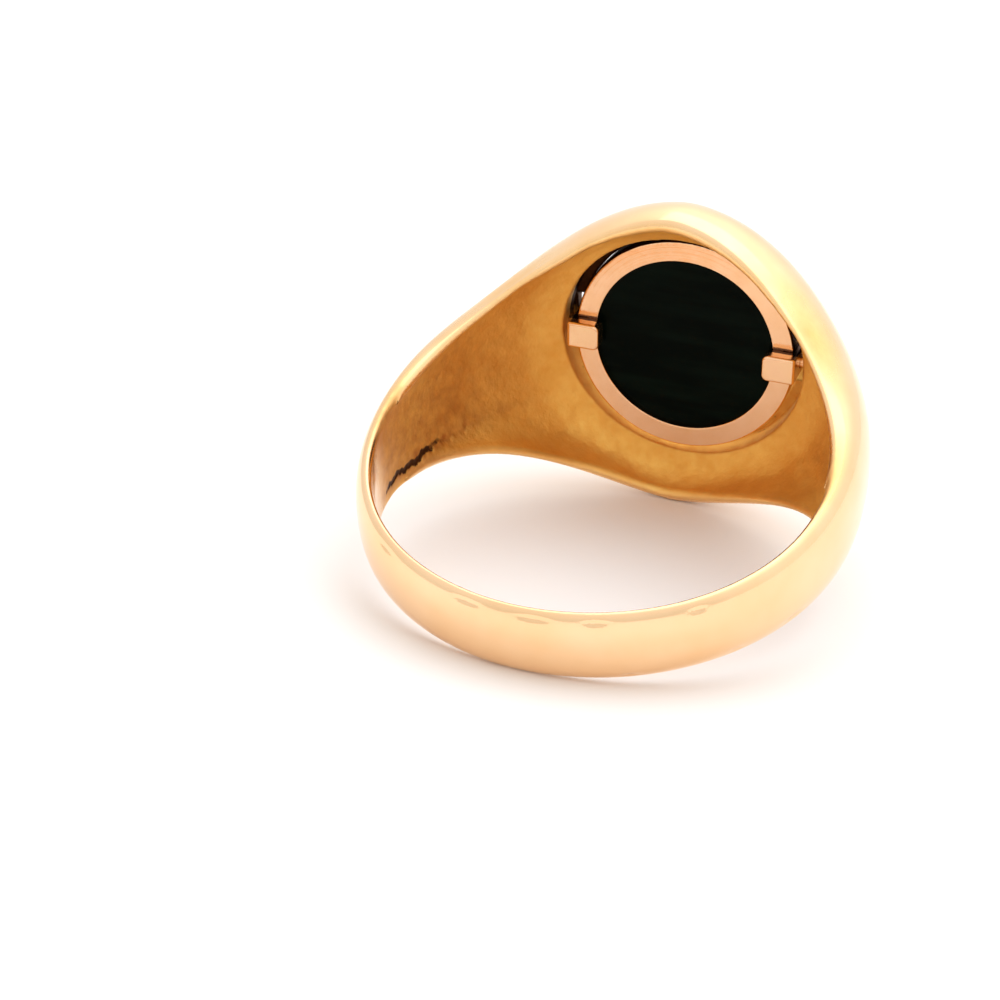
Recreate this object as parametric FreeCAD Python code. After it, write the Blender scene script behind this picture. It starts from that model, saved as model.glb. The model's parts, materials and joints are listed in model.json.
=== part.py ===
"""Gentleman's signet ring with a round reversible (swivelling) stone head, lying on its side.

Every piece is drawn in the wearer's frame: X runs from shoulder to shoulder, +Y from the palm
side of the shank to the head, and Z along the finger.  The last step tips the whole ring about X
until head and shank both touch the table, and puts the origin under the middle of the ring.
Lengths are millimetres, angles are degrees, and "turn" is the angle round the finger from the head.
"""
import FreeCAD
import Part
import math
import os

from FreeCAD import Vector

# Finger hole and shank
BORE_RADIUS = 9.5
SHANK_HALF_WIDTH = 1.6
SHANK_THICKNESS = 0.83

# Widening of the band towards the head, along the edge of the finger hole
HEAD_HALF_WIDTH = 7.65
WIDTH_SPAN = 56.5
WIDTH_POWER = 1.7

# Thickening of the band towards the head, at its crown
HEAD_THICKNESS = 5.55
THICKNESS_SPAN = 55.5
THICKNESS_POWER = 2.03
HEAD_TOP_Y = 13.1

# Cross-section of the band: a rounded D whose sides swell a little, and taper in the shoulders
SQUARENESS = 2.4
SWELL = 0.3
SWELL_HEIGHT = 0.6
SHOULDER_TURN = 45.0
SHOULDER_SPAN = 22.0
SHOULDER_ROUNDING = 0.28
SHOULDER_TAPER = 0.68

# Hollow cast into the back of the head and shoulders
WALL = 1.05
EDGE_WALL = 0.55
HOLLOW_SQUARENESS = 2.2
HOLLOW_END = 96
SHALLOWEST_HOLLOW = 0.03
FRAME_BACK_Y = 11.55
HEAD_HOLE_RADIUS = 5.8

# Narrower front of the hole in the head: part of a sphere that the swivelling head just clears,
# cut through by a drum along X that the bosses sweep inside
FRONT_SPHERE_RADIUS = 5.38
FRONT_LIP_Y = 12.45
BOSS_SWEEP_RADIUS = 1.5
BOSS_SWEEP_END_X = 5.58

# Reversible head: a rim, a stone and a retaining ring that turn on two pins along X
AXIS_Y = 11.95
REST_TURN = -6.0
RIM_RADIUS = 5.3
RIM_HALF_THICKNESS = 0.55
WINDOW_RADIUS = 4.3
SEAT_RADIUS = 4.75
LIP = 0.25
EDGE_BREAK = 0.08
STONE_CLEARANCE = 0.03

# Pivot bosses let into the rim, and the pins that they turn on
BOSS_INNER_X = 3.95
BOSS_OUTER_X = 5.5
BOSS_HALF_WIDTH = 0.65
BOSS_FINGER_HEIGHT = 1.3
BOSS_OUTER_HEIGHT = 0.9
BOSS_NOSE_RADIUS = 0.3
PIN_RADIUS = 0.30
PIN_CLEARANCE = 0.03
PIN_INNER_X = 4.85
PIN_OUTER_X = 6.5

# Loft stations
SECTION_STEP = 12
HALF_OVERRUN = 24
HOLLOW_STEP = 12
PROFILE_POINTS = 7
SECTION_UNDERCUT = 0.5
SURFACE_TOLERANCE = 0.005

X_AXIS = Vector(1, 0, 0)
Y_AXIS = Vector(0, 1, 0)
Z_AXIS = Vector(0, 0, 1)
ORIGIN = Vector(0, 0, 0)


def bell(turn, far, near, span, power):
    """A value that is `near` at the head and falls smoothly to `far` at the palm side."""
    return far + (near - far) * math.exp(-((abs(turn) / span) ** power))


def half_width(turn):
    return bell(turn, SHANK_HALF_WIDTH, HEAD_HALF_WIDTH, WIDTH_SPAN, WIDTH_POWER)


def thickness(turn):
    return bell(turn, SHANK_THICKNESS, HEAD_THICKNESS, THICKNESS_SPAN, THICKNESS_POWER)


def shoulder(turn):
    """One in the middle of a shoulder, falling to nothing at the head and in the shank."""
    return math.exp(-(((abs(turn) - SHOULDER_TURN) / SHOULDER_SPAN) ** 2))


def squareness(turn):
    return SQUARENESS - SHOULDER_ROUNDING * shoulder(turn)


def swell(turn):
    return SWELL - SHOULDER_TAPER * shoulder(turn)


def hollow_half_width(turn):
    return half_width(turn) - EDGE_WALL


def hollow_depth(turn):
    return max(thickness(turn) - WALL, SHALLOWEST_HOLLOW)


def place(turn, radius, across):
    """Point at an angle round the finger, a distance from its axis and a place along it."""
    angle = math.radians(turn)
    return Vector(radius * math.sin(angle), radius * math.cos(angle), across)


def spline(points):
    curve = Part.BSplineCurve()
    curve.interpolate(points)
    return curve.toShape()


def closed_section(turn, profile):
    """Wire through a symmetric profile of (radius, half width), closed by a straight line."""
    left = [place(turn, radius, -across) for radius, across in profile]
    right = [place(turn, radius, across) for radius, across in reversed(profile[:-1])]
    return Part.Wire([spline(left + right), Part.makeLine(right[-1], left[0])])


def rounded_profile(width, depth, square, side_swell):
    """From inside the finger hole out to its edge, then a quarter superellipse to the crown."""
    profile = [(BORE_RADIUS - SECTION_UNDERCUT, width), (BORE_RADIUS - SECTION_UNDERCUT / 2, width)]
    for index in range(PROFILE_POINTS):
        angle = math.radians(90.0 * index / PROFILE_POINTS)
        rise = depth * math.sin(angle) ** (2.0 / square)
        reach = width + side_swell * (1.0 - math.exp(-rise / SWELL_HEIGHT))
        across = reach * math.cos(angle) ** (2.0 / square)
        profile.append((BORE_RADIUS + rise, across))
    profile.append((BORE_RADIUS + depth, 0.0))
    return profile


def band_section(turn):
    profile = rounded_profile(half_width(turn), thickness(turn), squareness(turn), swell(turn))
    return closed_section(turn, profile)


def hollow_section(turn):
    profile = rounded_profile(hollow_half_width(turn), hollow_depth(turn), HOLLOW_SQUARENESS, 0.0)
    return closed_section(turn, profile)


def cylinder_along_x(radius, start_x, end_x, y):
    return Part.makeCylinder(radius, end_x - start_x, Vector(start_x, y, 0), X_AXIS)


def cylinder_along_y(radius, start_y, end_y):
    return Part.makeCylinder(radius, end_y - start_y, Vector(0, start_y, 0), Y_AXIS)


def box(low, high):
    size = high - low
    return Part.makeBox(size.x, size.y, size.z, low)


def mirrored(shape):
    return shape.mirror(ORIGIN, X_AXIS)


def band_half():
    """Domed outside of the +X half, lofted a little past the X = 0 plane at head and palm."""
    turns = range(-HALF_OVERRUN, 180 + HALF_OVERRUN + 1, SECTION_STEP)
    return Part.makeLoft([band_section(turn) for turn in turns], True, False)


def hollow():
    """The space behind the head: deepest at the middle, run out to nothing in the shoulders."""
    turns = range(-HOLLOW_END, HOLLOW_END + 1, HOLLOW_STEP)
    space = Part.makeLoft([hollow_section(turn) for turn in turns], True, False)
    beyond = box(Vector(-20, FRAME_BACK_Y, -20), Vector(20, 30, 20))
    return space.cut(beyond)


def head_hole():
    """Stepped hole for the swivelling head, with room for the bosses to pass its narrow front."""
    wide = cylinder_along_y(HEAD_HOLE_RADIUS, 5, FRONT_LIP_Y)
    front = Part.makeSphere(FRONT_SPHERE_RADIUS, Vector(0, AXIS_Y, 0), Y_AXIS)
    sweep = cylinder_along_x(BOSS_SWEEP_RADIUS, -BOSS_SWEEP_END_X, BOSS_SWEEP_END_X, AXIS_Y)
    return wide.fuse(front).fuse(sweep)


def ring_body():
    """Shank, shoulders and head frame in one casting, with a blind hole for each pin."""
    half = band_half().common(box(Vector(0, -20, -20), Vector(20, HEAD_TOP_Y, 20)))
    tools = [
        Part.makeCylinder(BORE_RADIUS, 40, Vector(0, 0, -20), Z_AXIS),
        hollow(),
        head_hole(),
        cylinder_along_x(PIN_RADIUS, 5.0, PIN_OUTER_X, AXIS_Y),
    ]
    for tool in tools:
        half = half.cut(tool)
    return half.fuse(mirrored(half)).removeSplitter()


def turned(radius, start_y, end_y):
    """Disc about the Y axis, placed by its distances from the swivel axis."""
    return cylinder_along_y(radius, AXIS_Y + start_y, AXIS_Y + end_y)


def circular_edges(shape, radius):
    return [
        edge for edge in shape.Edges
        if isinstance(edge.Curve, Part.Circle) and abs(edge.Curve.Radius - radius) < 1e-6
    ]


def swivel_rim():
    """Round frame with a lip on the finger side, a seat for the stone, and gaps for the bosses."""
    rim = turned(RIM_RADIUS, -RIM_HALF_THICKNESS, RIM_HALF_THICKNESS)
    rim = rim.makeChamfer(EDGE_BREAK, circular_edges(rim, RIM_RADIUS))
    rim = rim.cut(turned(WINDOW_RADIUS, -RIM_HALF_THICKNESS, RIM_HALF_THICKNESS))
    rim = rim.cut(turned(SEAT_RADIUS, LIP - RIM_HALF_THICKNESS, RIM_HALF_THICKNESS))
    gap = box(
        Vector(-RIM_RADIUS - 1, AXIS_Y - 1, -BOSS_HALF_WIDTH),
        Vector(RIM_RADIUS + 1, AXIS_Y + 1, BOSS_HALF_WIDTH),
    )
    return rim.cut(gap.cut(turned(SEAT_RADIUS, -1, 1)))


def retaining_ring():
    """Plain ring pressed in behind the stone, flush with the rim's outer face."""
    ring = turned(SEAT_RADIUS, RIM_HALF_THICKNESS - LIP, RIM_HALF_THICKNESS)
    return ring.cut(turned(WINDOW_RADIUS, 0, RIM_HALF_THICKNESS))


def onyx_tablet():
    """Flat black stone, polished on both faces, with its edge chamfered."""
    half = RIM_HALF_THICKNESS - LIP
    stone = turned(SEAT_RADIUS - STONE_CLEARANCE, -half, half)
    return stone.makeChamfer(EDGE_BREAK, circular_edges(stone, SEAT_RADIUS - STONE_CLEARANCE))


def pivot_boss():
    """Block let into the rim, with two ears that lap over the edge of the stone."""
    block = box(
        Vector(BOSS_INNER_X, AXIS_Y - BOSS_FINGER_HEIGHT, -BOSS_HALF_WIDTH),
        Vector(BOSS_OUTER_X, AXIS_Y + BOSS_OUTER_HEIGHT, BOSS_HALF_WIDTH),
    )
    nose = [
        edge for edge in block.Edges
        if abs(edge.CenterOfMass.x - BOSS_INNER_X) < 1e-6 and abs(edge.CenterOfMass.z) > 1e-6
    ]
    block = block.makeFillet(BOSS_NOSE_RADIUS, nose)
    block = block.cut(turned(SEAT_RADIUS, -RIM_HALF_THICKNESS, RIM_HALF_THICKNESS))
    return block.cut(cylinder_along_x(PIN_RADIUS + PIN_CLEARANCE, 4.0, 6.0, AXIS_Y))


def pivot_pin():
    return cylinder_along_x(PIN_RADIUS, PIN_INNER_X, PIN_OUTER_X, AXIS_Y)


def at_rest_turn(shape):
    """The swivelling head stands a few degrees off flush, its lower edge towards the finger."""
    shape = shape.copy()
    shape.rotate(Vector(0, AXIS_Y, 0), X_AXIS, REST_TURN)
    return shape


def all_pieces():
    boss = pivot_boss()
    pin = pivot_pin()
    return {
        "ring_body": ring_body(),
        "pivot_pin_left": mirrored(pin),
        "pivot_pin_right": pin,
        "swivel_rim": at_rest_turn(swivel_rim()),
        "retaining_ring": at_rest_turn(retaining_ring()),
        "onyx_tablet": at_rest_turn(onyx_tablet()),
        "pivot_boss_left": at_rest_turn(mirrored(boss)),
        "pivot_boss_right": at_rest_turn(boss),
    }


def surface_points(shape):
    return shape.tessellate(SURFACE_TOLERANCE)[0]


def resting_tip(points):
    """Angle about X at which the head end and the palm end of the ring are equally low."""
    head = [point for point in points if point.y > 0]
    palm = [point for point in points if point.y <= 0]
    low, high = 0.0, 45.0
    while high - low > 1e-6:
        tip = (low + high) / 2.0
        sine, cosine = math.sin(math.radians(tip)), math.cos(math.radians(tip))
        head_low = min(sine * point.y + cosine * point.z for point in head)
        palm_low = min(sine * point.y + cosine * point.z for point in palm)
        if head_low < palm_low:
            low = tip
        else:
            high = tip
    return tip


def lay_down(pieces):
    """Tip every piece onto the table and put the origin under the middle of the ring."""
    body = pieces["ring_body"]
    tip = resting_tip(surface_points(body))
    for shape in pieces.values():
        shape.rotate(ORIGIN, X_AXIS, tip)
    points = surface_points(body)
    y_values = [point.y for point in points]
    shift = Vector(0, -(min(y_values) + max(y_values)) / 2.0, -min(point.z for point in points))
    for shape in pieces.values():
        shape.translate(shift)
    turn = math.radians(tip)
    print("tip about X, degrees:", round(tip, 4))
    print("centre of the finger hole:", shift)
    print("finger axis:", Vector(0, -math.sin(turn), math.cos(turn)))
    print("swivel axis passes through:", shift + Vector(0, math.cos(turn), math.sin(turn)) * AXIS_Y)


def main():
    os.makedirs("parts", exist_ok=True)
    pieces = all_pieces()
    lay_down(pieces)
    for name, shape in pieces.items():
        solid = shape.Solids[0] if len(shape.Solids) == 1 else shape
        solid.exportStep("parts/" + name + ".step")
        print(name, "solids", len(shape.Solids), "valid", shape.isValid(), "mm3", round(shape.Volume, 3))


main()
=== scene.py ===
"""Gold signet ring with a reversible black stone, lying on its side on a pale table.

Shapes are drawn in the wearer's frame, in millimetres: X from shoulder to shoulder, Y from the
palm to the head and Z along the finger.  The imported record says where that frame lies, so the
finished meshes are placed by it.  Each gold piece is the zero surface of a field of signed
distances, meshed by a net of quads that is then pulled exactly onto the surface.
"""
import json
import math

import bpy
import numpy as np
from mathutils import Matrix, Vector


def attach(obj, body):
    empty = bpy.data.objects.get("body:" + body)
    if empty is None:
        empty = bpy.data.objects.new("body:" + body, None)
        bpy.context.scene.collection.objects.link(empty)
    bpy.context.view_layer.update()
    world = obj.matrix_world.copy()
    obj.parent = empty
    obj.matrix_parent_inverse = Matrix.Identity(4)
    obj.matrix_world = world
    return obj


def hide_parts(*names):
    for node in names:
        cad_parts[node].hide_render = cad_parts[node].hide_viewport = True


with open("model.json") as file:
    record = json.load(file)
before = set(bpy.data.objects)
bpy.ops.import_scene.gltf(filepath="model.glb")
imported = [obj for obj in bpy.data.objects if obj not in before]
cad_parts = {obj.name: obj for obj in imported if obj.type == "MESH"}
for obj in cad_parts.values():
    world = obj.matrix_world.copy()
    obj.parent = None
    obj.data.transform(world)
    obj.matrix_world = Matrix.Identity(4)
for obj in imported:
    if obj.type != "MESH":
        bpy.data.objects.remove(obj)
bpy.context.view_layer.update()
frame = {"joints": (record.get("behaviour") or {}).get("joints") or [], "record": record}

RECORD = frame["record"]
MM = 0.001


def mount(name):
    return next(item for item in RECORD["mounts"] if item["name"] == name)


# The wearer's frame, from the record
FINGER_HOLE = mount("finger_hole")
TIP = math.atan2(-FINGER_HOLE["axis"][1], FINGER_HOLE["axis"][2])
WEARER = Matrix.Translation(FINGER_HOLE["pos_m"]) @ Matrix.Rotation(TIP, 4, "X")
SWIVEL_POINT = WEARER.inverted() @ Vector(frame["joints"][0]["pos_m"])

# Driving dimensions in millimetres and degrees, as in the part
BORE_RADIUS = FINGER_HOLE["dims"]["r_mm"]
SHANK_HALF_WIDTH = 1.6
SHANK_THICKNESS = 0.83
HEAD_HALF_WIDTH = 7.65
WIDTH_SPAN = 56.5
WIDTH_POWER = 1.7
HEAD_THICKNESS = 5.55
THICKNESS_SPAN = 55.5
THICKNESS_POWER = 2.03
HEAD_TOP_Y = 13.1
SQUARENESS = 2.4
SWELL = 0.3
SWELL_HEIGHT = 0.6
SHOULDER_TURN = 45.0
SHOULDER_SPAN = 22.0
SHOULDER_ROUNDING = 0.28
SHOULDER_TAPER = 0.68
WALL = 1.05
EDGE_WALL = 0.55
HOLLOW_SQUARENESS = 2.2
FRAME_BACK_Y = 11.55
HEAD_HOLE_RADIUS = 5.8
FRONT_LIP_Y = 12.45
BOSS_SWEEP_RADIUS = 1.5
AXIS_Y = SWIVEL_POINT.y / MM
REST_TURN = -6.0
RIM_RADIUS = 5.3
RIM_HALF_THICKNESS = 0.55
WINDOW_RADIUS = 4.3
SEAT_RADIUS = 4.75
LIP = 0.25
BOSS_INNER_X = 3.95
BOSS_OUTER_X = 5.5
BOSS_HALF_WIDTH = 0.65
BOSS_FINGER_HEIGHT = 1.3
BOSS_OUTER_HEIGHT = 0.9
PIN_RADIUS = 0.30
PIN_INNER_X = 4.85
PIN_OUTER_X = 6.5
BOSS_NOSE_RADIUS = 0.3
STONE_CLEARANCE = 0.03
PIN_CLEARANCE = 0.03

# Where the finished pieces differ from the part.  The front opening and the relief for the bosses are
# tighter, so that less light shows through, the hollow runs out thinner and the stone's bevel is wider.
FRONT_SPHERE_RADIUS = 5.345
BOSS_SWEEP_END_X = 5.55
SHALLOWEST_HOLLOW = 0.002
STONE_BEVEL = 0.12
SEAT_CLEARANCE = 0.01
PIN_HOLE_CLEARANCE = 0.01

# The skin of the ring lies this far inside the part's, give or take its slow unevenness
RING_SHRINK = 0.020
RING_WAVE = 0.005

# Small knocks scattered along both edges of the shank: their number, the stretch of the band that they
# lie on in degrees, their distance from its middle, and their size
KNOCK_COUNT = 12
KNOCK_FIRST_TURN = 110.0
KNOCK_LAST_TURN = 250.0
KNOCK_EDGE_Z = 1.35
KNOCK_SHORTEST = 0.25
KNOCK_LONGEST = 0.70
KNOCK_HALF_WIDTH = 0.10
KNOCK_DEPTH = 0.05
KNOCK_SEED = 3

# Fillet radii: the worn edges, the inner corner of the hollow, and the finer edges of the small pieces
BAND_EDGE = 0.30
TOP_EDGE = 0.30
HOLLOW_EDGE = 0.34
HOLLOW_CORNER = 1.8
HOLE_EDGE = 0.10
STEP_EDGE = 0.05
RIM_EDGE = 0.10
WINDOW_EDGE = 0.05
BOSS_SIDE_EDGE = 0.12
BOSS_FACE_EDGE = 0.14
BOSS_CUT_EDGE = 0.04
PIN_EDGE = 0.05
FINE_EDGE = 0.03
FINEST_EDGE = 0.02

# Roughness of the casting inside the hollow, and where the hollow is deep enough to show it in full
CAST_WAVE = 0.030
CAST_GRAIN = 0.010
FULL_ROUGH_DEPTH = 0.6

# Ragged line left by the casting in each shoulder: its place along the finger at the middle of the head,
# its climb for each degree of turn, its depth, its widths above and below, and where it begins and ends
CREASE_Z = -4.30
CREASE_SLOPE = 0.0301
CREASE_DEPTH = 0.08
CREASE_WIDTH_ABOVE = 0.22
CREASE_WIDTH_BELOW = 0.08
CREASE_START = 46.0
CREASE_START_SPAN = 22.0
CREASE_END = 102.0
CREASE_END_SPAN = 10.0


def bell(turn, far, near, span, power):
    """A value that is `near` at the head and falls smoothly to `far` at the palm side."""
    return far + (near - far) * np.exp(-((np.abs(turn) / span) ** power))


def fade_in(value, start, span):
    return np.clip((value - start) / span, 0.0, 1.0)


def fade_out(value, end, span):
    return np.clip((end - value) / span, 0.0, 1.0)


def half_width(turn):
    return bell(turn, SHANK_HALF_WIDTH, HEAD_HALF_WIDTH, WIDTH_SPAN, WIDTH_POWER)


def thickness(turn):
    return bell(turn, SHANK_THICKNESS, HEAD_THICKNESS, THICKNESS_SPAN, THICKNESS_POWER)


def shoulder(turn):
    return np.exp(-(((np.abs(turn) - SHOULDER_TURN) / SHOULDER_SPAN) ** 2))


def hollow_half_width(turn):
    return half_width(turn) - EDGE_WALL


def hollow_depth(turn):
    return np.maximum(thickness(turn) - WALL, SHALLOWEST_HOLLOW)


def meet(first, second, radius):
    """Space inside both fields, with a fillet of that radius along the edge where they cross."""
    reach_first = np.maximum(radius + first, 0.0)
    reach_second = np.maximum(radius + second, 0.0)
    return np.minimum(-radius, np.maximum(first, second)) + np.hypot(reach_first, reach_second)


def superellipse(rise, across, depth, reach, square):
    """Distance, near the surface, from a superellipse of that depth and half width."""
    up = np.maximum(rise, 0.0) / depth
    side = np.abs(across) / reach
    size = np.maximum(up ** square + side ** square, 1e-9) ** (1.0 / square)
    slope_up = (up / size) ** (square - 1.0) / depth
    slope_side = (side / size) ** (square - 1.0) / reach
    return (size - 1.0) / np.maximum(np.hypot(slope_up, slope_side), 1e-6)


def ripple(x, y, z, wavelength, seed, count=7):
    """Smooth repeatable unevenness of about unit height."""
    draw = np.random.default_rng(seed)
    total = 0.0
    for _ in range(count):
        heading = draw.normal(size=3)
        heading *= 2.0 * math.pi / (wavelength * draw.uniform(0.7, 1.5) * np.linalg.norm(heading))
        total = total + np.sin(heading[0] * x + heading[1] * y + heading[2] * z + draw.uniform(0, 6.283))
    return total / math.sqrt(count)


def knocks(x, y, z):
    """Small dents along the edges of the shank, one in each equal stretch, placed by seeded draws."""
    draw = np.random.default_rng(KNOCK_SEED)
    turn = np.degrees(np.arctan2(x, y)) % 360.0
    stretch = (KNOCK_LAST_TURN - KNOCK_FIRST_TURN) / KNOCK_COUNT
    dent = 0.0
    for index in range(KNOCK_COUNT):
        knock_turn = KNOCK_FIRST_TURN + (index + draw.uniform(0.0, 1.0)) * stretch
        knock_z = draw.choice((-1.0, 1.0)) * KNOCK_EDGE_Z
        half_length = draw.uniform(KNOCK_SHORTEST, KNOCK_LONGEST)
        along = np.radians(turn - knock_turn) * BORE_RADIUS / half_length
        dent = dent + np.exp(-(along ** 2) - ((z - knock_z) / KNOCK_HALF_WIDTH) ** 2)
    return KNOCK_DEPTH * dent


def crease_strength(turn, z):
    """One along the ragged line left by the casting in each shoulder, falling to nothing beside it."""
    wander = 0.07 * np.sin(0.33 * turn) + 0.06 * np.sin(0.91 * turn + 1.0) + 0.03 * np.sin(2.3 * turn)
    across = z - CREASE_Z - CREASE_SLOPE * np.abs(turn) - wander
    width = np.where(across > 0.0, CREASE_WIDTH_ABOVE, CREASE_WIDTH_BELOW)
    rise = fade_in(np.abs(turn), CREASE_START, CREASE_START_SPAN)
    fall = fade_out(np.abs(turn), CREASE_END, CREASE_END_SPAN)
    return np.exp(-((across / width) ** 2)) * rise * fall


def crease_shade(turn, z):
    """Painted shade along the ragged line, thickest where the shoulder runs out into the shank."""
    share = np.clip((np.abs(turn) - 56.0) / 22.0, 0.35, 1.0)
    return np.clip(1.7 * crease_strength(turn, z), 0.0, 1.0) * share


def shoulder_brown_share(turn, z):
    """Broad darker reddish-brown tone above the ragged line, fading out along the shoulder."""
    across = z - CREASE_Z - CREASE_SLOPE * np.abs(turn)
    near = np.exp(-((across / np.where(across > 0.0, 0.9, 0.25)) ** 2))
    far = 0.75 * np.exp(-((across / np.where(across > 0.0, 5.5, 0.4)) ** 2))
    along = fade_in(np.abs(turn), start=30.0, span=32.0) * fade_out(np.abs(turn), end=112.0, span=12.0)
    return np.maximum(near, far) * along


def hollow_field(x, y, z, detail):
    """Negative inside the space cast behind the head."""
    turn = np.degrees(np.arctan2(x, y))
    radius = np.hypot(x, y)
    depth = hollow_depth(turn)
    reach = hollow_half_width(turn)
    field = superellipse(radius - BORE_RADIUS, z, depth, reach, HOLLOW_SQUARENESS)
    if detail:
        rough = CAST_WAVE * ripple(x, y, z, 3.2, 11) + CAST_GRAIN * ripple(x, y, z, 1.1, 12)
        fade = np.clip(depth / FULL_ROUGH_DEPTH, 0.0, 1.0)
        crease = crease_strength(turn, z) * (1.0 + 0.25 * ripple(x, y, z, 1.2, 13))
        field = field + rough * fade - CREASE_DEPTH * crease
    return meet(field, y - FRAME_BACK_Y, HOLLOW_CORNER)


def head_hole_field(x, y, z):
    """Negative inside the stepped hole for the swivelling head."""
    up = y - AXIS_Y
    wide = meet(np.hypot(x, z) - HEAD_HOLE_RADIUS, y - FRONT_LIP_Y, STEP_EDGE)
    front = np.sqrt(x * x + up * up + z * z) - FRONT_SPHERE_RADIUS
    sweep = meet(np.hypot(up, z) - BOSS_SWEEP_RADIUS, np.abs(x) - BOSS_SWEEP_END_X, STEP_EDGE)
    return np.maximum(np.minimum(np.minimum(wide, front), sweep), -y)


def ring_field(x, y, z, detail=True):
    """Negative inside the metal of the ring body."""
    turn = np.degrees(np.arctan2(x, y))
    radius = np.hypot(x, y)
    rise = radius - BORE_RADIUS
    swell = SWELL - SHOULDER_TAPER * shoulder(turn)
    reach = half_width(turn) + swell * (1.0 - np.exp(-np.maximum(rise, 0.0) / SWELL_HEIGHT))
    square = SQUARENESS - SHOULDER_ROUNDING * shoulder(turn)
    metal = superellipse(rise, z, thickness(turn), reach, square)
    if detail:
        metal = metal + RING_SHRINK + RING_WAVE * ripple(x, y, z, 5.0, 21) + knocks(x, y, z)
    metal = meet(metal, -rise, BAND_EDGE)
    metal = meet(metal, y - HEAD_TOP_Y, TOP_EDGE)
    metal = meet(metal, -hollow_field(x, y, z, detail), HOLLOW_EDGE)
    metal = meet(metal, -head_hole_field(x, y, z), HOLE_EDGE)
    pin_wall = np.hypot(y - AXIS_Y, z) - PIN_RADIUS - PIN_HOLE_CLEARANCE
    pin_hole = meet(pin_wall, np.abs(x) - PIN_OUTER_X, FINEST_EDGE)
    return meet(metal, -pin_hole, FINE_EDGE)


def rim_field(x, y, z, detail=True):
    """Negative inside the rim: an outer wall and a lip, open for the stone and for the bosses."""
    spread = np.hypot(x, z)
    up = y - AXIS_Y
    metal = meet(spread - RIM_RADIUS, np.abs(up) - RIM_HALF_THICKNESS, RIM_EDGE)
    metal = meet(metal, WINDOW_RADIUS - spread, WINDOW_EDGE)
    seat = np.maximum(spread - SEAT_RADIUS, LIP - RIM_HALF_THICKNESS - up)
    metal = meet(metal, -seat, FINEST_EDGE)
    gap = np.maximum(np.abs(z) - BOSS_HALF_WIDTH, SEAT_RADIUS - spread)
    return meet(metal, -gap, FINE_EDGE)


def retaining_field(x, y, z, detail=True):
    """Negative inside the plain ring that closes the stone into the rim."""
    spread = np.hypot(x, z)
    up = y - AXIS_Y
    flat = np.abs(up - RIM_HALF_THICKNESS + LIP / 2.0) - LIP / 2.0
    disc = meet(spread - SEAT_RADIUS + SEAT_CLEARANCE, flat, FINE_EDGE)
    return meet(disc, WINDOW_RADIUS - spread, WINDOW_EDGE)


def boss_field(x, y, z, detail=True):
    """Rounded block whose two ears lap over the rim and the edge of the stone."""
    middle = (BOSS_INNER_X + BOSS_OUTER_X) / 2.0
    half = (BOSS_OUTER_X - BOSS_INNER_X) / 2.0
    up = y - AXIS_Y
    past_corner = np.maximum(np.abs(z) - (BOSS_HALF_WIDTH - BOSS_NOSE_RADIUS), 0.0)
    past_end = np.minimum(x - BOSS_INNER_X - BOSS_NOSE_RADIUS, 0.0)
    nose = np.hypot(past_corner, past_end) - BOSS_NOSE_RADIUS
    plan = meet(np.abs(x - middle) - half, np.abs(z) - BOSS_HALF_WIDTH, BOSS_SIDE_EDGE)
    plan = np.where(x < BOSS_INNER_X + BOSS_NOSE_RADIUS, np.maximum(plan, nose), plan)
    block = meet(plan, np.maximum(-up - BOSS_FINGER_HEIGHT, up - BOSS_OUTER_HEIGHT), BOSS_FACE_EDGE)
    stone_space = np.maximum(np.hypot(x, z) - SEAT_RADIUS, np.abs(up) - RIM_HALF_THICKNESS)
    block = meet(block, -stone_space, BOSS_CUT_EDGE)
    return meet(block, PIN_RADIUS + PIN_CLEARANCE - np.hypot(up, z), BOSS_CUT_EDGE)


def pin_field(x, y, z, detail=True):
    middle = (PIN_INNER_X + PIN_OUTER_X) / 2.0
    half = (PIN_OUTER_X - PIN_INNER_X) / 2.0
    return meet(np.hypot(y - AXIS_Y, z) - PIN_RADIUS, np.abs(x - middle) - half, PIN_EDGE)


def stone_field(x, y, z, detail=True):
    """Tablet with flat polished faces and a bevelled edge."""
    spread = np.hypot(x, z)
    up = np.abs(y - AXIS_Y)
    half = RIM_HALF_THICKNESS - LIP
    edge = SEAT_RADIUS - STONE_CLEARANCE
    bevel = (spread - edge + up - half + STONE_BEVEL) * math.sqrt(0.5)
    return np.maximum(meet(spread - edge, up - half, FINE_EDGE), bevel)


def mirrored(field, sign):
    """The field for the left or the right shoulder, by the sign of its side."""
    def on_side(x, y, z, detail=True):
        return field(sign * x, y, z, detail)

    return on_side


def sampled(field, low, high, step):
    """The field's sign on a grid, worked out a few layers at a time."""
    xs, ys, zs = [np.arange(a, b + step, step) for a, b in zip(low, high)]
    inside = np.empty((len(xs), len(ys), len(zs)), dtype=bool)
    for start in range(0, len(xs), 16):
        layer = slice(start, start + 16)
        grid = np.meshgrid(xs[layer], ys, zs, indexing="ij")
        inside[layer] = field(*grid, detail=False) < 0.0
    return inside


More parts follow.
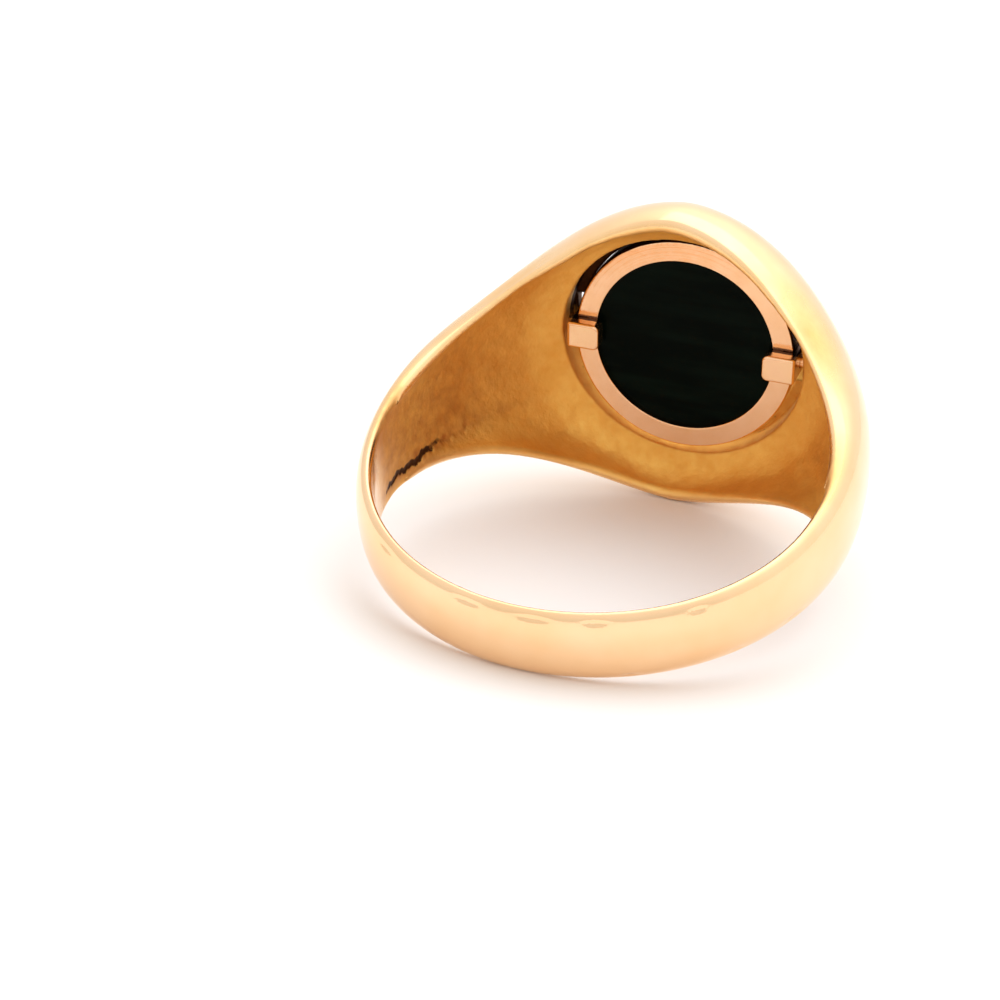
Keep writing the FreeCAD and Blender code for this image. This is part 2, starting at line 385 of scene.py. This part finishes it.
def net(inside, low, step):
    """One point in each grid cell that the surface crosses, and a quad round each crossed edge."""
    halves = (slice(None, -1), slice(1, None))
    corners = [inside[i, j, k] for i in halves for j in halves for k in halves]
    count = sum(corner.astype(np.int8) for corner in corners)
    crossed = (count > 0) & (count < 8)
    number = np.full(crossed.shape, -1, dtype=np.int64)
    number[crossed] = np.arange(crossed.sum())
    points = (np.argwhere(crossed) + 0.5) * step + np.array(low)
    faces = []
    for axis in range(3):
        first = np.moveaxis(inside, axis, 0)
        cell = np.moveaxis(number, axis, 0)
        if axis == 1:
            first = np.swapaxes(first, 1, 2)
            cell = np.swapaxes(cell, 1, 2)
        change = first[1:] != first[:-1]
        i, j, k = np.nonzero(change)
        quad = np.stack([cell[i, j - 1, k - 1], cell[i, j, k - 1], cell[i, j, k], cell[i, j - 1, k]], axis=1)
        outward = first[i, j, k]
        quad[~outward] = quad[~outward][:, ::-1]
        faces.append(quad)
    return points, np.concatenate(faces)


def slope(field, points):
    """The field and its gradient at each point, by central differences."""
    reach = 0.004
    value = field(*points.T)
    parts = []
    for axis in range(3):
        offset = np.zeros(3)
        offset[axis] = reach
        parts.append((field(*(points + offset).T) - field(*(points - offset).T)) / (2.0 * reach))
    return value, np.stack(parts, axis=1)


def pull(field, points, step, rounds):
    """Newton steps onto the zero surface."""
    for _ in range(rounds):
        value, gradient = slope(field, points)
        size = np.maximum((gradient ** 2).sum(axis=1), 0.05)
        move = -(value / size)[:, None] * gradient
        length = np.linalg.norm(move, axis=1)
        points = points + move * np.minimum(1.0, 0.5 * step / np.maximum(length, 1e-9))[:, None]
    return points


def even_out(field, points, faces, step, rounds):
    """Slides the points along the surface until the quads are regular."""
    start = faces.ravel()
    end = np.roll(faces, -1, axis=1).ravel()
    ends = np.concatenate([start, end])
    others = np.concatenate([end, start])
    share = np.bincount(ends, minlength=len(points))
    for _ in range(rounds):
        middle = np.stack([np.bincount(ends, points[others, i], len(points)) for i in range(3)], axis=1)
        move = middle / share[:, None] - points
        _, gradient = slope(field, points)
        normal = gradient / np.maximum(np.linalg.norm(gradient, axis=1), 1e-9)[:, None]
        move -= (move * normal).sum(axis=1)[:, None] * normal
        points = pull(field, points + 0.5 * move, step, 1)
    return points


def place_matrix(turn=0.0):
    """From the wearer's millimetres to the row frame, with the swivelling head at its rest turn."""
    centre = Vector((0.0, AXIS_Y, 0.0)) * MM
    turning = Matrix.Rotation(math.radians(turn), 4, "X")
    swivel = Matrix.Translation(centre) @ turning @ Matrix.Translation(-centre)
    return WEARER @ swivel @ Matrix.Scale(MM, 4)


def field_mesh(name, field, low, high, step, turn=0.0):
    inside = sampled(field, low, high, step)
    points, faces = net(inside, low, step)
    points = pull(field, points, step, 4)
    points = even_out(field, points, faces, step, 8)
    points = pull(field, points, step, 3)
    _, gradient = slope(field, points)
    mesh = bpy.data.meshes.new(name)
    mesh.vertices.add(len(points))
    mesh.loops.add(faces.size)
    mesh.polygons.add(len(faces))
    mesh.vertices.foreach_set("co", points.astype(np.float32).ravel())
    mesh.loops.foreach_set("vertex_index", faces.astype(np.int32).ravel())
    mesh.polygons.foreach_set("loop_start", np.arange(0, faces.size, 4, dtype=np.int32))
    mesh.polygons.foreach_set("use_smooth", np.ones(len(faces), dtype=bool))
    mesh.update(calc_edges=True)
    mesh.validate()
    normals = gradient / np.maximum(np.linalg.norm(gradient, axis=1), 1e-9)[:, None]
    matrix = place_matrix(turn)
    mesh.transform(matrix)
    turned = normals @ np.array(matrix.to_3x3().normalized()).T
    mesh.normals_split_custom_set_from_vertices(turned.tolist())
    piece = bpy.data.objects.new(name, mesh)
    bpy.context.scene.collection.objects.link(piece)
    return piece, points


def float_attribute(piece, name, values):
    layer = piece.data.attributes.new(name, "FLOAT", "POINT")
    layer.data.foreach_set("value", values.astype(np.float32))


def add_piece(node, body, field, low, high, step, turn=0.0):
    """A finished mesh that stands for one CAD node, with the wearer's millimetres kept on it."""
    piece, points = field_mesh(node + "_finished", field, low, high, step, turn)
    layer = piece.data.attributes.new("wearer", "FLOAT_VECTOR", "POINT")
    layer.data.foreach_set("vector", points.astype(np.float32).ravel())
    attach(piece, body)
    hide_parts(node)
    return piece, points


# Materials
GOLD_BRIGHT = (1.0, 0.69, 0.41, 1.0)
GOLD_DEEP = (0.97, 0.64, 0.35, 1.0)
CAST_BRIGHT = (0.96, 0.60, 0.155, 1.0)
CAST_DEEP = (0.86, 0.47, 0.10, 1.0)
SHOULDER_BROWN = (0.42, 0.14, 0.03, 1.0)
# Near-black brown painted onto the gold as shade in the ragged shoulder lines, round the swivelling head and
# beside the bosses
PAINTED_SHADE = (0.07, 0.026, 0.009, 1.0)
ROSE_BRIGHT = (0.98, 0.62, 0.37, 1.0)
ROSE_DEEP = (0.93, 0.55, 0.29, 1.0)
ONYX_DEEP = (0.0015, 0.003, 0.002, 1.0)
ONYX_BAND = (0.003, 0.007, 0.0045, 1.0)
FLOOR_WHITE = (0.96, 0.945, 0.945, 1.0)


def set_range(node, low, high, bottom, top):
    """Plain numbers for a Map Range node."""
    for name, number in (("From Min", low), ("From Max", high), ("To Min", bottom), ("To Max", top)):
        node.inputs[name].default_value = number


class Shader:
    """A Principled material with short calls for the nodes round it."""

    def __init__(self, name):
        self.material = bpy.data.materials.new(name)
        self.material.use_nodes = True
        self.tree = self.material.node_tree
        self.surface = self.tree.nodes["Principled BSDF"]
        self.wearer = self.attribute("wearer").outputs["Vector"]

    def attribute(self, name):
        node = self.tree.nodes.new("ShaderNodeAttribute")
        node.attribute_name = name
        return node

    def link(self, value, socket):
        if isinstance(value, bpy.types.NodeSocket):
            self.tree.links.new(value, socket)
        else:
            socket.default_value = value

    def math(self, operation, *values):
        node = self.tree.nodes.new("ShaderNodeMath")
        node.operation = operation
        for value, socket in zip(values, node.inputs):
            self.link(value, socket)
        return node.outputs[0]

    def stretched(self, scale):
        node = self.tree.nodes.new("ShaderNodeMapping")
        self.link(self.wearer, node.inputs["Vector"])
        node.inputs["Scale"].default_value = scale
        return node.outputs[0]

    def noise(self, scale, detail=3.0, vector=None):
        node = self.tree.nodes.new("ShaderNodeTexNoise")
        self.link(vector or self.wearer, node.inputs["Vector"])
        node.inputs["Scale"].default_value = scale
        node.inputs["Detail"].default_value = detail
        return node.outputs["Fac"]

    def spread(self, value, low, high, bottom=0.0, top=1.0):
        node = self.tree.nodes.new("ShaderNodeMapRange")
        self.link(value, node.inputs["Value"])
        set_range(node, low, high, bottom, top)
        return node.outputs[0]

    def blend(self, share, first, second):
        node = self.tree.nodes.new("ShaderNodeMix")
        node.data_type = "RGBA"
        self.link(share, node.inputs[0])
        self.link(first, node.inputs[6])
        self.link(second, node.inputs[7])
        return node.outputs[2]

    def bump(self, height, strength, distance, normal=None):
        node = self.tree.nodes.new("ShaderNodeBump")
        self.link(height, node.inputs["Height"])
        self.link(strength, node.inputs["Strength"])
        node.inputs["Distance"].default_value = distance
        if normal is not None:
            self.link(normal, node.inputs["Normal"])
        return node.outputs[0]

    def ragged_shade(self, painted_shade):
        """Share of the dark painted shade: solid where its mask is full and ragged where the mask thins out.
        """
        speck = self.math("MULTIPLY_ADD", self.noise(3.5, 5.0), 0.9, -0.45)
        return self.spread(self.math("ADD", painted_shade, speck), 0.42, 0.72)

    def set(self, **values):
        for name, value in values.items():
            self.link(value, self.surface.inputs[name.replace("_", " ")])


def polished_gold(name, bright, deep):
    """Outside: worn polish with hair scratches round the band.  Inside the head: as cast."""
    shader = Shader(name)
    cast = shader.attribute("cast").outputs["Fac"]
    painted_shade = shader.attribute("painted_shade").outputs["Fac"]
    cloud = shader.spread(shader.noise(0.35), 0.35, 0.65)
    colour = shader.blend(cloud, bright, deep)
    broad = shader.math("MULTIPLY", shader.noise(0.28, 3.0), 0.7)
    cast_cloud = shader.spread(shader.math("MULTIPLY_ADD", shader.noise(1.4, 6.0), 0.3, broad), 0.36, 0.64)
    cast_colour = shader.blend(cast_cloud, CAST_BRIGHT, CAST_DEEP)
    ragged = shader.spread(shader.noise(1.8, 5.0), 0.25, 0.75, 0.3, 1.0)
    brown_share = shader.math("MULTIPLY", shader.attribute("shoulder_brown").outputs["Fac"], ragged)
    cast_colour = shader.blend(brown_share, cast_colour, SHOULDER_BROWN)
    colour = shader.blend(cast, colour, cast_colour)
    # Painted shade: the near-black brown laid over the gold where the ring's mask marks the ragged line and
    # the hole's walls
    ragged_shade = shader.ragged_shade(painted_shade)
    colour = shader.blend(ragged_shade, colour, PAINTED_SHADE)
    hair = shader.noise(1.0, 2.0, shader.stretched((1.2, 1.2, 26.0)))
    worn = shader.spread(shader.noise(1.1, 5.0), 0.3, 0.7, 0.10, 0.17)
    polish = shader.math("ADD", worn, shader.spread(hair, 0.55, 0.75, 0.0, 0.05))
    rough_cast = shader.spread(shader.noise(2.2, 6.0), 0.3, 0.7, 0.52, 0.68)
    difference = shader.math("SUBTRACT", rough_cast, polish)
    roughness = shader.math("MULTIPLY_ADD", difference, cast, polish)
    grain = shader.noise(3.2, 6.0)
    fine = shader.bump(hair, 0.05, 0.00002)
    rough = shader.bump(grain, shader.math("MULTIPLY", cast, 0.4), 0.0001, fine)
    shader.set(Base_Color=colour, Metallic=1.0, Roughness=roughness, Normal=rough)
    return shader.material


def turned_gold(name, bright, deep, smooth, rough, groove):
    """Gold worked on a lathe, with fine rings about the middle of the disc."""
    shader = Shader(name)
    split = shader.tree.nodes.new("ShaderNodeSeparateXYZ")
    shader.link(shader.wearer, split.inputs[0])
    across = shader.math("POWER", split.outputs["X"], 2.0)
    along = shader.math("POWER", split.outputs["Z"], 2.0)
    spread = shader.math("SQRT", shader.math("ADD", across, along))
    rings = shader.tree.nodes.new("ShaderNodeTexNoise")
    rings.noise_dimensions = "1D"
    shader.link(spread, rings.inputs["W"])
    rings.inputs["Scale"].default_value = 9.0
    rings.inputs["Detail"].default_value = 3.0
    cloud = shader.spread(shader.noise(0.9, 4.0), 0.3, 0.7)
    colour = shader.blend(cloud, bright, deep)
    # Painted shade on the rim's side wall and on the sides of the bosses, from their masks
    ragged_shade = shader.ragged_shade(shader.attribute("painted_shade").outputs["Fac"])
    colour = shader.blend(ragged_shade, colour, PAINTED_SHADE)
    roughness = shader.spread(shader.noise(2.5, 5.0), 0.3, 0.7, smooth, rough)
    rub = shader.bump(shader.noise(2.0, 5.0), 0.12, 0.00006)
    normal = shader.bump(rings.outputs["Fac"], groove, 0.00003, rub)
    shader.set(Base_Color=colour, Metallic=1.0, Roughness=roughness, Normal=normal)
    return shader.material


def polished_stone(name):
    """Black onyx: near black with faint cooler bands and a few polishing marks."""
    shader = Shader(name)
    band = shader.spread(shader.noise(0.5, 3.0, shader.stretched((0.4, 1.0, 2.6))), 0.4, 0.7)
    colour = shader.blend(band, ONYX_DEEP, ONYX_BAND)
    roughness = shader.spread(shader.noise(3.0, 5.0), 0.3, 0.7, 0.07, 0.16)
    normal = shader.bump(shader.noise(0.7, 2.0), 0.05, 0.0001)
    shader.set(Base_Color=colour, Roughness=roughness, Normal=normal)
    shader.set(IOR=1.54, Specular_IOR_Level=0.02)
    return shader.material



def mark_ring(piece, points):
    """Where the ring is as cast, where painted shade darkens the ragged line and the walls of the head's
    hole, and where the shoulders take a darker reddish-brown tone.
    """
    x, y, z = points.T
    turn = np.degrees(np.arctan2(x, y))
    depth_in_hollow = -hollow_field(x, y, z, True)
    in_hollow = depth_in_hollow > -0.3
    unpolished = fade_in(depth_in_hollow, start=-0.60, span=0.60)
    unpolished = unpolished * fade_out(np.abs(turn), end=108.0, span=12.0) * (y < HEAD_TOP_Y - 0.6)
    in_head_hole = fade_out(head_hole_field(x, y, z), end=0.10, span=0.06) * (y > 10.0)
    in_head_hole *= fade_out(y, end=HEAD_TOP_Y - 0.04, span=0.08)
    # Painted shade on the walls of the hole round the swivelling head, fuller towards the top
    gap_wall_shade = np.clip((y - FRAME_BACK_Y - 0.1) / 0.3, 0.0, 1.0) * in_head_hole
    gap_wall_shade *= np.clip((z + 1.2) / 2.5, 0.30, 1.0)
    float_attribute(piece, "cast", np.maximum(unpolished, in_head_hole))
    float_attribute(piece, "painted_shade", np.maximum(crease_shade(turn, z) * in_hollow, gap_wall_shade))
    float_attribute(piece, "shoulder_brown", shoulder_brown_share(turn, z) * in_hollow)


def mark_rim(piece, points):
    """Painted shade on the rim's side wall, full on the upper side and fading out below."""
    spread = np.hypot(points[:, 0], points[:, 2])
    side_wall = np.clip((spread - RIM_RADIUS + 0.10) / 0.06, 0.0, 1.0)
    upper_side = np.clip((points[:, 2] + 0.8) / 2.0, 0.0, 1.0)
    float_attribute(piece, "painted_shade", side_wall * upper_side)


def mark_boss(piece, points):
    """Painted shade on the sides of a boss, close to the rim."""
    side = np.clip((np.abs(points[:, 2]) - BOSS_HALF_WIDTH + 0.10) / 0.08, 0.0, 1.0)
    near_rim = np.clip((points[:, 1] - AXIS_Y + RIM_HALF_THICKNESS + 0.32) / 0.12, 0.0, 1.0)
    float_attribute(piece, "painted_shade", side * near_rim)


# The finished pieces, each in a box of the wearer's millimetres that its field is sampled over
ring_low = (-11.0, -11.0, -8.8)
ring_high = (11.0, 13.3, 8.8)
disc_low = (-RIM_RADIUS - 0.4, AXIS_Y - 1.2, -RIM_RADIUS - 0.4)
disc_high = (RIM_RADIUS + 0.4, AXIS_Y + 1.2, RIM_RADIUS + 0.4)

ring, ring_points = add_piece(
    "ring_body", "ring", ring_field, ring_low, ring_high, step=0.12
)
mark_ring(ring, ring_points)
ring.data.materials.append(polished_gold("yellow_gold_worn", GOLD_BRIGHT, GOLD_DEEP))

rose = turned_gold("rose_gold_satin", ROSE_BRIGHT, ROSE_DEEP, smooth=0.11, rough=0.19, groove=0.10)
rim, rim_points = add_piece(
    "swivel_rim", "swivel_head", rim_field, disc_low, disc_high, step=0.06, turn=REST_TURN
)
mark_rim(rim, rim_points)
rim.data.materials.append(rose)
cover, _ = add_piece(
    "retaining_ring", "swivel_head", retaining_field,
    disc_low, disc_high, step=0.05, turn=REST_TURN,
)
cover.data.materials.append(rose)
stone, _ = add_piece(
    "onyx_tablet", "swivel_head", stone_field, disc_low, disc_high, step=0.08, turn=REST_TURN
)
stone.data.materials.append(polished_stone("onyx_polished"))

boss_gold = turned_gold("boss_gold_polished", GOLD_DEEP, ROSE_BRIGHT, smooth=0.16, rough=0.26, groove=0.0)
pin_gold = turned_gold("pin_gold_drawn", GOLD_DEEP, GOLD_BRIGHT, smooth=0.2, rough=0.3, groove=0.0)
for side, sign in (("left", -1.0), ("right", 1.0)):
    ends = sorted((sign * (BOSS_INNER_X - 0.3), sign * (PIN_OUTER_X + 0.3)))
    low = (ends[0], AXIS_Y - 1.6, -1.1)
    high = (ends[1], AXIS_Y + 1.3, 1.1)
    boss, boss_points = add_piece(
        "pivot_boss_" + side, "swivel_head", mirrored(boss_field, sign),
        low, high, step=0.035, turn=REST_TURN,
    )
    mark_boss(boss, boss_points)
    boss.data.materials.append(boss_gold)
    pin, _ = add_piece(
        "pivot_pin_" + side, "ring", mirrored(pin_field, sign), low, high, step=0.04
    )
    pin.data.materials.append(pin_gold)

# Table, light and camera
scene = bpy.context.scene
FLOOR_HALF_SIDE = 1.5
floor_mesh = bpy.data.meshes.new("table_top")
floor_corners = [(-1, -1, 0), (1, -1, 0), (1, 1, 0), (-1, 1, 0)]
floor_mesh.from_pydata([Vector(corner) * FLOOR_HALF_SIDE for corner in floor_corners], [], [(0, 1, 2, 3)])
floor = bpy.data.objects.new("table_top", floor_mesh)
scene.collection.objects.link(floor)
floor_material = bpy.data.materials.new("white_card")
floor_material.use_nodes = True
card = floor_material.node_tree.nodes["Principled BSDF"]
card.inputs["Base Color"].default_value = FLOOR_WHITE
card.inputs["Roughness"].default_value = 0.55
card.inputs["Specular IOR Level"].default_value = 0.2
floor_mesh.materials.append(floor_material)

world = bpy.data.worlds.new("white_tent")
world.use_nodes = True
scene.world = world
tent = world.node_tree
coordinates = tent.nodes.new("ShaderNodeTexCoord")
height = tent.nodes.new("ShaderNodeSeparateXYZ")
tent.links.new(coordinates.outputs["Generated"], height.inputs[0])
brightness = tent.nodes.new("ShaderNodeMapRange")
tent.links.new(height.outputs["Z"], brightness.inputs["Value"])
set_range(brightness, 0.0, 0.6, 0.86, 1.0)


def glow(direction, start, full, strength):
    """Soft-edged brighter part of the tent round one direction."""
    facing = tent.nodes.new("ShaderNodeVectorMath")
    facing.operation = "DOT_PRODUCT"
    tent.links.new(coordinates.outputs["Generated"], facing.inputs[0])
    facing.inputs[1].default_value = Vector(direction).normalized()
    fade = tent.nodes.new("ShaderNodeMapRange")
    fade.interpolation_type = "SMOOTHERSTEP"
    tent.links.new(facing.outputs["Value"], fade.inputs["Value"])
    set_range(fade, start, full, 0.0, strength)
    return fade.outputs[0]


def added(first, second):
    """The sum of two sockets of the tent."""
    node = tent.nodes.new("ShaderNodeMath")
    tent.links.new(first, node.inputs[0])
    tent.links.new(second, node.inputs[1])
    return node.outputs[0]


# Each glow: its direction, the cosines at which it starts and is full, and its strength
GLOWS = (
    ((0.55, 0.75, 0.35), -0.1, 0.8, 0.24),
    ((0.1, 0.3, 0.95), 0.5, 0.98, 0.34),
)
level = brightness.outputs[0]
for lamp in GLOWS:
    level = added(level, glow(*lamp))
tent.links.new(level, tent.nodes["Background"].inputs["Strength"])
tent.nodes["Background"].inputs["Color"].default_value = (1.0, 0.99, 0.98, 1.0)


def soft_box(name, where, size, power):
    """Square area light aimed at the middle of the ring."""
    light = bpy.data.lights.new(name, "AREA")
    light.shape = "SQUARE"
    light.size = size
    light.energy = power
    box = bpy.data.objects.new(name, light)
    box.location = where
    toward_ring = RING_MIDDLE - Vector(where)
    box.rotation_euler = toward_ring.to_track_quat("-Z", "Y").to_euler()
    scene.collection.objects.link(box)


RING_MIDDLE = Vector((0.0, 0.0, 0.006))
soft_box("overhead", (0.01, 0.07, 0.34), size=0.34, power=0.17)

# The camera, in metres and degrees in the wearer's frame
CAMERA_PLACE = (0.024318, -0.064086, 0.053003)
CAMERA_AZIMUTH = 24.359
CAMERA_ELEVATION = 37.841
CAMERA_ROLL = -3.931
CAMERA_LENS = 73.32
camera = bpy.data.objects.new("camera", bpy.data.cameras.new("camera"))
camera.data.lens = CAMERA_LENS
camera.data.sensor_width = 36.0
camera.data.clip_start = 0.002
camera.data.clip_end = 10.0
camera.matrix_world = (
    WEARER
    @ Matrix.Translation(CAMERA_PLACE)
    @ Matrix.Rotation(math.radians(CAMERA_AZIMUTH), 4, "Z")
    @ Matrix.Rotation(math.radians(90.0 - CAMERA_ELEVATION), 4, "X")
    @ Matrix.Rotation(math.radians(CAMERA_ROLL), 4, "Z")
)
scene.collection.objects.link(camera)
scene.camera = camera
scene.view_settings.view_transform = "Standard"
scene.view_settings.look = "None"

bpy.context.view_layer.update()
